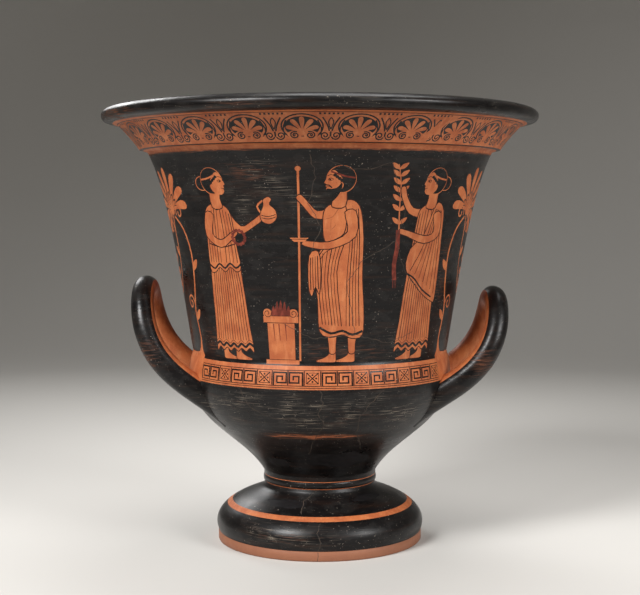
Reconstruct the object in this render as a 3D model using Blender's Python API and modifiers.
"""Calyx krater: a wide painted mixing bowl, turned on a stemmed foot, with two loop handles.

The vessel is one fired piece. Its body is a profile turned about +Z, the handles are tubes that
spring from the cul (the bulging lower bowl), and the bowl and the underside of the foot are hollow.
The origin is on the axis, at the plane that the foot stands on. +X points to the lower handle and
-Y to the side with the main picture.
"""

import math

import bmesh
import bpy
from mathutils import Vector

# Foot, from the ground up (metres)
FOOT_STRIP_RADIUS = 0.1098
FOOT_STRIP_HEIGHT = 0.0103
FOOT_SHOULDER_RADIUS = 0.0863
FOOT_BULGE = 0.0047
FOOT_BULGE_HEIGHT = 0.0365
FLARE_HEIGHT = 0.0160
STANDING_RING_WIDTH = 0.0150
RECESS_DEPTH = 0.0520

# Stem and the thin ring that joins it to the bowl
STEM_RADIUS = 0.0596
STEM_RING_SWELL = 0.0014
STEM_RING_HEIGHT = 0.0077
NECK_HEIGHT = 0.0040

# Cul, the bulging lower bowl
CUL_SWELL = 0.0045
CUL_HEIGHT = 0.1055
CUL_SHOULDER_HEIGHT = 0.0245

# Wall, the picture zone
WALL_FOOT_RADIUS = 0.1360
WALL_FLARE = 0.0466
WALL_HEIGHT = 0.2095
WALL_THICKNESS = 0.0085
FLOOR_THICKNESS = 0.0160

# Ornament band under the lip, and the lip itself
BAND_OVERHANG = 0.0095
BAND_FLARE = 0.0213
BAND_HEIGHT = 0.0245
BAND_STEP_HEIGHT = 0.0040
LIP_OVERHANG = 0.0173
LIP_HEIGHT = 0.0177
LIP_EDGE = 0.0080
LIP_CROWN = 0.0170
LIP_WIDTH = 0.0232

# Handles
HANDLE_HALF_SPREAD = 0.0580
HANDLE_STANDOFF = 0.0465
HANDLE_ROOT_DROP = 0.0400
HANDLE_ROOT_DEPTH = 0.0200
HANDLE_RISE = {"left": 0.0915, "right": 0.0805}
HANDLE_ARM_RADIUS = 0.0120
HANDLE_ROOT_RADIUS = 0.0155
HANDLE_ARCH_POWER = 2.6
HANDLE_SIDES = {"left": -1.0, "right": 1.0}

# Softened inner edge of the mouth, and small offsets of the turned edges
MOUTH_EDGE = 0.0020
MOUTH_EDGE_DEPTH = 0.0035
MOUTH_EDGE_DROP = 0.0010
BAND_EDGE_SETBACK = 0.0010
STRIP_EDGE_SWELL = 0.0007

# Pulls of the curves' control points, as shares of the stretch they span (outward, upward)
LIP_TUCK = (0.06, 0.40)
LIP_UNDERSIDE = (0.30, 0.15)
BAND_HOLLOW = 0.05
BAND_EDGE_SHARE = 0.35
BAND_WALL_SHARE = 1.25
WALL_UPPER_PULL = (0.48, 0.77)
WALL_LOWER_PULL = (0.20, 0.24)
SHOULDER_UPPER_PULL = (0.60, 0.25)
SHOULDER_LOWER_PULL = 0.60
CUL_UPPER_PULL = 0.49
CUL_LOWER_PULL = (0.287, 0.374)
NECK_SWELL = 0.5
RING_SWELL = 0.7
FLARE_UPPER_PULL = 0.55
FLARE_LOWER_PULL = (0.42, 0.42)
BULGE_UPPER_PULL = 0.32
BULGE_LOWER_PULL = 0.34
FLOOR_START_SHARE = 0.12
FLOOR_OUTER_PULL = (0.80, 0.35)
FLOOR_INNER_PULL = 0.55
RECESS_INNER_PULL = (0.48, 0.96)
RECESS_OUTER_PULL = (0.93, 0.70)
HANDLE_LOWER_PULL = (0.38, 0.27)
HANDLE_UPPER_PULL = 0.33

# Fineness of the faceted solid
TURN_STEPS = 60
LIP_STEPS = 5
OUTER_WALL_STEPS = 6
OUTER_SHOULDER_STEPS = 3
OUTER_CUL_STEPS = 9
INNER_WALL_STEPS = 5
INNER_SHOULDER_STEPS = 2
INNER_CUL_STEPS = 8
FLOOR_STEPS = 4
FLARE_STEPS = 4
BULGE_STEPS = 6
RECESS_STEPS = 5
HANDLE_HALF_POINTS = 13
HANDLE_BEVEL_RESOLUTION = 3
MERGE_DISTANCE = 0.00001
CUTTER_CLEARANCE = 0.0040

# Radii that follow from the wall's foot outward
CUL_RADIUS = WALL_FOOT_RADIUS + CUL_SWELL
WALL_TOP_RADIUS = WALL_FOOT_RADIUS + WALL_FLARE
BAND_FOOT_RADIUS = WALL_TOP_RADIUS + BAND_OVERHANG
BAND_TOP_RADIUS = BAND_FOOT_RADIUS + BAND_FLARE
LIP_RADIUS = BAND_TOP_RADIUS + LIP_OVERHANG
MOUTH_RADIUS = LIP_RADIUS - LIP_WIDTH

# Levels that the stretches above add up to
SHOULDER_LEVEL = FOOT_STRIP_HEIGHT + FOOT_BULGE_HEIGHT
STEM_LEVEL = SHOULDER_LEVEL + FLARE_HEIGHT
RING_LEVEL = STEM_LEVEL + STEM_RING_HEIGHT
CUL_LEVEL = RING_LEVEL + NECK_HEIGHT
BELLY_LEVEL = CUL_LEVEL + CUL_HEIGHT
WALL_LEVEL = BELLY_LEVEL + CUL_SHOULDER_HEIGHT
BAND_LEVEL = WALL_LEVEL + WALL_HEIGHT
LIP_LEVEL = BAND_LEVEL + BAND_STEP_HEIGHT + BAND_HEIGHT
RIM_LEVEL = LIP_LEVEL + LIP_HEIGHT


def bezier(start, first, second, end, count):
    """Return count points along a cubic curve, leaving out its start."""
    points = []
    for step in range(1, count + 1):
        t = step / count
        s = 1.0 - t
        weights = (s ** 3, 3.0 * s * s * t, 3.0 * s * t * t, t ** 3)
        ends = (start, first, second, end)
        points.append(tuple(sum(w * p[i] for w, p in zip(weights, ends)) for i in range(2)))
    return points


def arc(centre, radii, start_deg, end_deg, count):
    """Return count + 1 points along an elliptical arc in the profile plane."""
    points = []
    for step in range(count + 1):
        angle = math.radians(start_deg + (end_deg - start_deg) * step / count)
        points.append((centre[0] + radii[0] * math.cos(angle), centre[1] + radii[1] * math.sin(angle)))
    return points


def lip_profile():
    """Overhanging lip, from its flat top round its outer face to the ornament band."""
    bulge = LIP_RADIUS - BAND_TOP_RADIUS
    widest = RIM_LEVEL - LIP_EDGE
    upper = arc((LIP_RADIUS - LIP_CROWN, widest), (LIP_CROWN, LIP_EDGE), 90.0, 0.0, LIP_STEPS)
    underside = (LIP_RADIUS - LIP_UNDERSIDE[0] * bulge, LIP_LEVEL + LIP_UNDERSIDE[1] * LIP_HEIGHT)
    tuck = (LIP_RADIUS - LIP_TUCK[0] * bulge, widest - LIP_TUCK[1] * (widest - underside[1]))
    return upper + [tuck, underside]


def band_profile():
    """Slightly hollow ornament band, with the small step where it overhangs the wall."""
    top = (BAND_TOP_RADIUS, LIP_LEVEL)
    foot = (BAND_FOOT_RADIUS, LIP_LEVEL - BAND_HEIGHT)
    hollow = BAND_HOLLOW * (BAND_TOP_RADIUS - BAND_FOOT_RADIUS)
    middle = (0.5 * (top[0] + foot[0]) - hollow, 0.5 * (top[1] + foot[1]))
    lower_edge = (BAND_FOOT_RADIUS - BAND_EDGE_SETBACK, foot[1] - BAND_EDGE_SHARE * BAND_STEP_HEIGHT)
    return [top, middle, foot, lower_edge]


def wall_profile(count):
    """Flaring wall of the picture zone, from its top down to the cul."""
    spread = WALL_TOP_RADIUS - WALL_FOOT_RADIUS
    top = (WALL_TOP_RADIUS, BAND_LEVEL)
    upper = (WALL_FOOT_RADIUS + WALL_UPPER_PULL[0] * spread, WALL_LEVEL + WALL_UPPER_PULL[1] * WALL_HEIGHT)
    lower = (WALL_FOOT_RADIUS + WALL_LOWER_PULL[0] * spread, WALL_LEVEL + WALL_LOWER_PULL[1] * WALL_HEIGHT)
    foot = (WALL_FOOT_RADIUS, WALL_LEVEL)
    return [top] + bezier(top, upper, lower, foot, count)


def cul_profile(shoulder_count, count):
    """Bulging cul, from the foot of the wall down to the neck over the stem."""
    belly = (CUL_RADIUS, BELLY_LEVEL)
    step = CUL_RADIUS - WALL_FOOT_RADIUS
    shoulder = bezier(
        (WALL_FOOT_RADIUS, WALL_LEVEL),
        (
            WALL_FOOT_RADIUS + SHOULDER_UPPER_PULL[0] * step,
            WALL_LEVEL - SHOULDER_UPPER_PULL[1] * CUL_SHOULDER_HEIGHT,
        ),
        (CUL_RADIUS, WALL_LEVEL - SHOULDER_LOWER_PULL * CUL_SHOULDER_HEIGHT),
        belly,
        shoulder_count,
    )
    neck = (STEM_RADIUS + NECK_SWELL * STEM_RING_SWELL, CUL_LEVEL)
    reach = CUL_RADIUS - neck[0]
    bowl = bezier(
        belly,
        (CUL_RADIUS, BELLY_LEVEL - CUL_UPPER_PULL * CUL_HEIGHT),
        (neck[0] + CUL_LOWER_PULL[0] * reach, CUL_LEVEL + CUL_LOWER_PULL[1] * CUL_HEIGHT),
        neck,
        count,
    )
    return shoulder + bowl


def stem_profile():
    """Thin ring at the top of the stem, between its two scored lines."""
    middle = 0.5 * (STEM_LEVEL + RING_LEVEL)
    return [
        (STEM_RADIUS + RING_SWELL * STEM_RING_SWELL, RING_LEVEL),
        (STEM_RADIUS + STEM_RING_SWELL, middle),
        (STEM_RADIUS, STEM_LEVEL),
    ]


def foot_profile(flare_count, bulge_count):
    """Flare under the stem, the round bulge of the foot and the upright strip at the ground."""
    shoulder = (FOOT_SHOULDER_RADIUS, SHOULDER_LEVEL)
    strip = (FOOT_STRIP_RADIUS, FOOT_STRIP_HEIGHT)
    flare_width = FOOT_SHOULDER_RADIUS - STEM_RADIUS
    flare = bezier(
        (STEM_RADIUS, STEM_LEVEL),
        (STEM_RADIUS, SHOULDER_LEVEL + FLARE_UPPER_PULL * FLARE_HEIGHT),
        (
            STEM_RADIUS + FLARE_LOWER_PULL[0] * flare_width,
            SHOULDER_LEVEL + FLARE_LOWER_PULL[1] * FLARE_HEIGHT,
        ),
        shoulder,
        flare_count,
    )
    bulge = bezier(
        shoulder,
        (FOOT_STRIP_RADIUS + STRIP_EDGE_SWELL, SHOULDER_LEVEL - BULGE_UPPER_PULL * FOOT_BULGE_HEIGHT),
        (FOOT_STRIP_RADIUS + FOOT_BULGE, FOOT_STRIP_HEIGHT + BULGE_LOWER_PULL * FOOT_BULGE_HEIGHT),
        strip,
        bulge_count,
    )
    return flare + bulge + [(FOOT_STRIP_RADIUS, 0.0)]


def outer_profile():
    """Whole outer side, from the axis at the rim's level down to the axis on the ground."""
    side = lip_profile() + band_profile() + wall_profile(OUTER_WALL_STEPS)
    side += cul_profile(OUTER_SHOULDER_STEPS, OUTER_CUL_STEPS)
    side += stem_profile() + foot_profile(FLARE_STEPS, BULGE_STEPS)
    return [(0.0, RIM_LEVEL)] + side + [(0.0, 0.0)]


def inset(outline, distance):
    """Move an outline's points inward, square to it, by the wall's thickness."""
    moved = []
    for before, point, after in zip(outline, outline[1:], outline[2:]):
        along = Vector((after[0] - before[0], after[1] - before[1])).normalized()
        moved.append((point[0] + along.y * distance, point[1] - along.x * distance))
    return moved


def bowl_profile():
    """Space inside the bowl, from above the mouth down to the middle of its floor."""
    floor_level = CUL_LEVEL + FLOOR_THICKNESS
    outline = wall_profile(INNER_WALL_STEPS) + cul_profile(INNER_SHOULDER_STEPS, INNER_CUL_STEPS)
    floor_start = floor_level + FLOOR_START_SHARE * CUL_HEIGHT
    side = [point for point in inset(outline, WALL_THICKNESS) if point[1] > floor_start]
    last = side[-1]
    floor = bezier(
        last,
        (FLOOR_OUTER_PULL[0] * last[0], floor_level + FLOOR_OUTER_PULL[1] * (last[1] - floor_level)),
        (FLOOR_INNER_PULL * last[0], floor_level),
        (0.0, floor_level),
        FLOOR_STEPS,
    )
    mouth = [
        (MOUTH_RADIUS + MOUTH_EDGE, RIM_LEVEL + CUTTER_CLEARANCE),
        (MOUTH_RADIUS + MOUTH_EDGE, RIM_LEVEL - MOUTH_EDGE_DROP),
        (MOUTH_RADIUS, RIM_LEVEL - MOUTH_EDGE_DEPTH),
        (BAND_TOP_RADIUS - BAND_WALL_SHARE * WALL_THICKNESS, LIP_LEVEL),
        (WALL_TOP_RADIUS - WALL_THICKNESS, BAND_LEVEL),
    ]
    return [(0.0, RIM_LEVEL + CUTTER_CLEARANCE)] + mouth + side + floor


def recess_profile():
    """Hollow under the foot, from its ceiling down past the standing ring."""
    mouth = FOOT_STRIP_RADIUS - STANDING_RING_WIDTH
    ceiling = (0.0, RECESS_DEPTH)
    dome = bezier(
        ceiling,
        (RECESS_INNER_PULL[0] * mouth, RECESS_INNER_PULL[1] * RECESS_DEPTH),
        (RECESS_OUTER_PULL[0] * mouth, RECESS_OUTER_PULL[1] * RECESS_DEPTH),
        (mouth, 0.0),
        RECESS_STEPS,
    )
    return [ceiling] + dome + [(mouth, -CUTTER_CLEARANCE), (0.0, -CUTTER_CLEARANCE)]


def turn(name, profile, collection):
    """Turn a profile about +Z with a Screw modifier and return the object."""
    mesh = bpy.data.meshes.new(name)
    edges = [(i, i + 1) for i in range(len(profile) - 1)]
    mesh.from_pydata([(radius, 0.0, level) for radius, level in profile], edges, [])
    piece = bpy.data.objects.new(name, mesh)
    collection.objects.link(piece)
    screw = piece.modifiers.new("turning", "SCREW")
    screw.axis = "Z"
    screw.angle = math.tau
    screw.steps = TURN_STEPS
    screw.render_steps = TURN_STEPS
    screw.use_merge_vertices = True
    screw.merge_threshold = MERGE_DISTANCE
    screw.use_smooth_shade = True
    return piece


def handle_path(rise):
    """Centre line of one handle on the +X side, as (point, radius) from root to root."""
    root_level = BELLY_LEVEL - HANDLE_ROOT_DROP
    inner_radius = CUL_RADIUS - 2.0 * WALL_THICKNESS
    root_out = math.sqrt(inner_radius ** 2 - HANDLE_HALF_SPREAD ** 2) - HANDLE_ROOT_DEPTH
    top = (CUL_RADIUS + HANDLE_STANDOFF, BELLY_LEVEL + rise)
    climb_height = top[1] - root_level
    first = (
        root_out + HANDLE_LOWER_PULL[0] * (top[0] - root_out),
        root_level + HANDLE_LOWER_PULL[1] * climb_height,
    )
    second = (top[0], root_level + HANDLE_UPPER_PULL * climb_height)
    shares = [1.0 - (1.0 - i / HANDLE_HALF_POINTS) ** 2 for i in range(HANDLE_HALF_POINTS + 1)]
    half = []
    for share in shares:
        s = 1.0 - share
        weights = (s ** 3, 3.0 * s * s * share, 3.0 * s * share * share, share ** 3)
        ends = ((root_out, root_level), first, second, top)
        out, level = (sum(w * p[i] for w, p in zip(weights, ends)) for i in range(2))
        climb = (level - root_level) / climb_height
        narrowing = max(0.0, 1.0 - climb ** HANDLE_ARCH_POWER) ** (1.0 / HANDLE_ARCH_POWER)
        spread = HANDLE_HALF_SPREAD * narrowing
        radius = HANDLE_ARM_RADIUS + (HANDLE_ROOT_RADIUS - HANDLE_ARM_RADIUS) * (1.0 - climb) ** 2
        half.append((Vector((out, -spread, level)), radius))
    mirrored = [(Vector((p.x, -p.y, p.z)), radius) for p, radius in reversed(half[:-1])]
    return half + mirrored


def handle(name, side, rise, collection):
    """Model one loop handle as a bevelled curve and return it as a closed mesh."""
    curve = bpy.data.curves.new(name + "_line", "CURVE")
    curve.dimensions = "3D"
    curve.bevel_depth = 1.0
    curve.bevel_resolution = HANDLE_BEVEL_RESOLUTION
    curve.use_fill_caps = True
    path = handle_path(rise)
    spline = curve.splines.new("POLY")
    spline.points.add(len(path) - 1)
    for knot, (point, radius) in zip(spline.points, path):
        knot.co = (side * point.x, point.y, point.z, 1.0)
        knot.radius = radius
    line = bpy.data.objects.new(name + "_line", curve)
    collection.objects.link(line)
    bpy.context.view_layer.update()
    mesh = bpy.data.meshes.new_from_object(line.evaluated_get(bpy.context.evaluated_depsgraph_get()))
    shell = bmesh.new()
    shell.from_mesh(mesh)
    bmesh.ops.remove_doubles(shell, verts=shell.verts, dist=MERGE_DISTANCE)
    bmesh.ops.recalc_face_normals(shell, faces=shell.faces)
    shell.to_mesh(mesh)
    shell.free()
    mesh.name = name
    loop = bpy.data.objects.new(name, mesh)
    loop.matrix_world = line.matrix_world
    collection.objects.link(loop)
    bpy.data.objects.remove(line)
    bpy.data.curves.remove(curve)
    return loop


def combine(body, other, operation):
    """Join another solid to the body, or cut it away, and mark it as a guide."""
    step = body.modifiers.new(other.name, "BOOLEAN")
    step.operation = operation
    step.solver = "EXACT"
    step.object = other
    other.hide_render = True
    other.display_type = "WIRE"


def fired_clay():
    """Black gloss over orange clay, as one plain finish for the solid."""
    material = bpy.data.materials.new("black_gloss_on_clay")
    material.use_nodes = True
    shader = material.node_tree.nodes["Principled BSDF"]
    shader.inputs["Base Color"].default_value = (0.018, 0.015, 0.014, 1.0)
    shader.inputs["Roughness"].default_value = 0.32
    shader.inputs["Metallic"].default_value = 0.0
    return material


def new_collection(name):
    """Add a collection to the scene."""
    collection = bpy.data.collections.new(name)
    bpy.context.scene.collection.children.link(collection)
    return collection


def main():
    """Build the krater in an empty scene."""
    for old in list(bpy.data.objects):
        bpy.data.objects.remove(old)
    parts = new_collection("calyx_krater")
    guides = new_collection("calyx_krater_guides")
    krater = turn("krater", outer_profile(), parts)
    krater.data.materials.append(fired_clay())
    for name, side in HANDLE_SIDES.items():
        combine(krater, handle("handle_" + name, side, HANDLE_RISE[name], guides), "UNION")
    combine(krater, turn("bowl_space", bowl_profile(), guides), "DIFFERENCE")
    combine(krater, turn("foot_recess", recess_profile(), guides), "DIFFERENCE")
    bpy.context.view_layer.update()


main()
